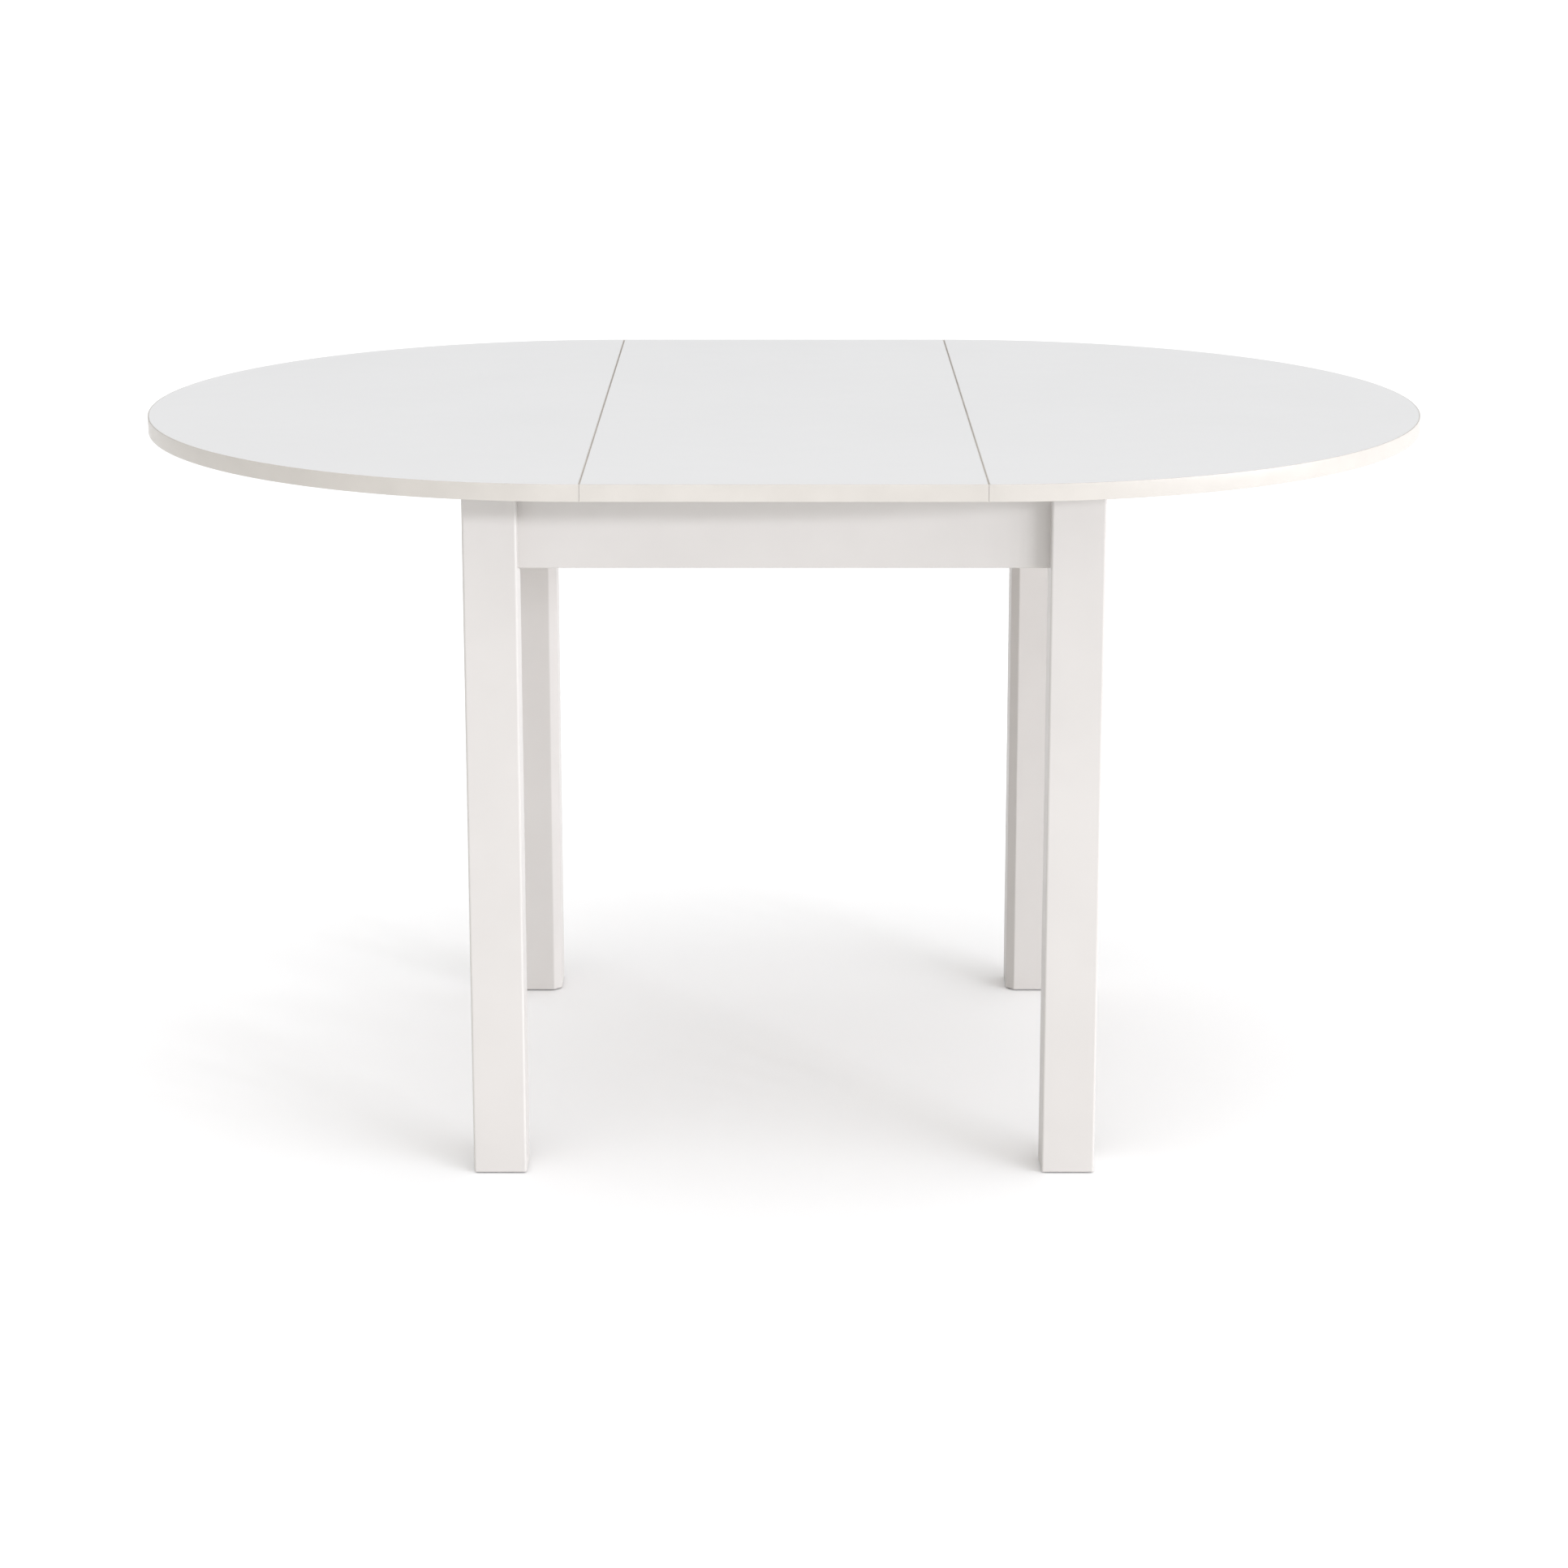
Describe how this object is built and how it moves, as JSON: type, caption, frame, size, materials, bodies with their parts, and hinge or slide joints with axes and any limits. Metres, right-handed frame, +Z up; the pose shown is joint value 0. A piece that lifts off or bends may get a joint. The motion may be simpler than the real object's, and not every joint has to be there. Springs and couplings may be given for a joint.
{
  "type": "extending dining table",
  "caption": "Round extending dining table on a square four-leg frame, shown extended with its drop-in leaf in place.",
  "frame": {"origin": "on the floor, under the middle of the top", "axes": "+X the way the top extends, +Z up, front towards -Y"},
  "size_m": [1.3714, 0.98, 0.763],
  "materials": {
    "laminated_board": "satin",
    "edge_banding": "satin",
    "lacquered_wood": "satin",
    "beech": "matte",
    "zinc_plated_steel": "satin",
    "felt": "matte",
    "glide_plastic": "matte"
  },
  "bodies": {
    "frame": {"apron_back": "lacquered_wood", "apron_dowels": "beech", "apron_front": "lacquered_wood", "apron_left": "lacquered_wood", "apron_right": "lacquered_wood", "bracket_nuts": "zinc_plated_steel", "bracket_screws": "zinc_plated_steel", "bracket_washers": "zinc_plated_steel", "corner_bracket_back_left": "zinc_plated_steel", "corner_bracket_back_right": "zinc_plated_steel", "corner_bracket_front_left": "zinc_plated_steel", "corner_bracket_front_right": "zinc_plated_steel", "foot_glides": "glide_plastic", "guide_rail_back": "beech", "guide_rail_front": "beech", "guide_screws": "zinc_plated_steel", "guide_stops": "beech", "hanger_bolts": "zinc_plated_steel", "leaf_pads": "felt", "leg_back_left": "lacquered_wood", "leg_back_right": "lacquered_wood", "leg_front_left": "lacquered_wood", "leg_front_right": "lacquered_wood"},
    "left_half": {"left_cleat": "beech", "left_cleat_screws": "zinc_plated_steel", "left_edge_band": "edge_banding", "left_latch_screws": "zinc_plated_steel", "left_runner_inner": "beech", "left_runner_outer": "beech", "left_runner_screws": "zinc_plated_steel", "left_runner_stops": "beech", "left_top_panel": "laminated_board"},
    "right_half": {"right_cleat": "beech", "right_cleat_screws": "zinc_plated_steel", "right_edge_band": "edge_banding", "right_latch_screws": "zinc_plated_steel", "right_runner_inner": "beech", "right_runner_outer": "beech", "right_runner_screws": "zinc_plated_steel", "right_runner_stops": "beech", "right_top_panel": "laminated_board"},
    "leaf": {"leaf_batten_back": "beech", "leaf_batten_front": "beech", "leaf_batten_screws": "zinc_plated_steel", "leaf_edge_band": "edge_banding", "leaf_latch_pivots": "zinc_plated_steel", "leaf_latch_posts": "zinc_plated_steel", "leaf_panel": "laminated_board"},
    "left_latch_front": {"left_latch_front": "zinc_plated_steel"},
    "left_latch_back": {"left_latch_back": "zinc_plated_steel"},
    "right_latch_front": {"right_latch_front": "zinc_plated_steel"},
    "right_latch_back": {"right_latch_back": "zinc_plated_steel"}
  },
  "joints": [
    {"name": "left_half_slide", "type": "slide", "parent": "frame", "child": "left_half", "axis": [-1, 0, 0], "range_m": [0, 0.06]},
    {"name": "right_half_slide", "type": "slide", "parent": "frame", "child": "right_half", "axis": [1, 0, 0], "range_m": [0, 0.06]},
    {"name": "leaf_lift", "type": "slide", "parent": "frame", "child": "leaf", "axis": [0, 0, 1], "range_m": [0, 0.3]},
    {"name": "left_latch_front_swivel", "type": "hinge", "parent": "left_half", "child": "left_latch_front", "pos_m": [-0.21765, -0.38, 0.74425], "axis": [0, 0, 1], "range_deg": [0, 90]},
    {"name": "left_latch_back_swivel", "type": "hinge", "parent": "left_half", "child": "left_latch_back", "pos_m": [-0.21765, 0.38, 0.74425], "axis": [0, 0, -1], "range_deg": [0, 90]},
    {"name": "right_latch_front_swivel", "type": "hinge", "parent": "leaf", "child": "right_latch_front", "pos_m": [0.17365, -0.38, 0.74425], "axis": [0, 0, 1], "range_deg": [0, 90]},
    {"name": "right_latch_back_swivel", "type": "hinge", "parent": "leaf", "child": "right_latch_back", "pos_m": [0.17365, 0.38, 0.74425], "axis": [0, 0, -1], "range_deg": [0, 90]}
  ]
}
